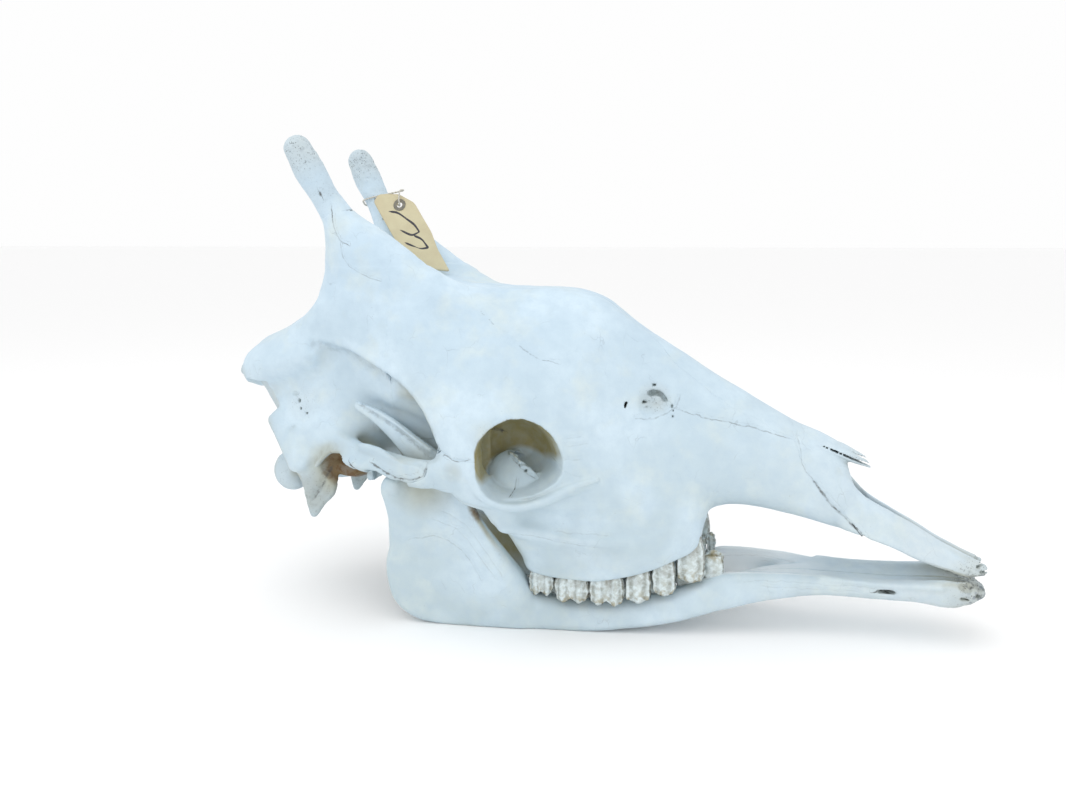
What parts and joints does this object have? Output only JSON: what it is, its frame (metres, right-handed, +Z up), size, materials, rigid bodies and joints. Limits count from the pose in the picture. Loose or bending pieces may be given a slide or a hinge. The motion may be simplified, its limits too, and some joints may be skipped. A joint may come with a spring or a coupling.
{
  "type": "giraffe skull",
  "caption": "Life-size giraffe skull with its lower jaw in place, resting on the jaw, with two short horns and a small card tag tied round one of them.",
  "frame": {"origin": "middle of the footprint on the floor, under the lower jaw", "axes": "+X towards the snout, +Y towards the animal's left, +Z up"},
  "size_m": [0.6425, 0.2287, 0.399],
  "materials": {
    "bone": "dry bleached bone, matt",
    "tag_card": "matt manila card",
    "tag_eyelet": "grey reinforcing ring",
    "tag_string": "thin cotton string"
  },
  "bodies": {
    "root": {"cranium": "bone", "mandible_left": "bone", "mandible_right": "bone", "maxilla_left": "bone", "maxilla_right": "bone", "nasal_left": "bone", "nasal_right": "bone", "ossicone_left": "bone", "ossicone_right": "bone", "premaxilla_left": "bone", "premaxilla_right": "bone", "specimen_tag": "tag_card", "tag_eyelet": "tag_eyelet", "tag_string": "tag_string"}
  },
  "joints": []
}
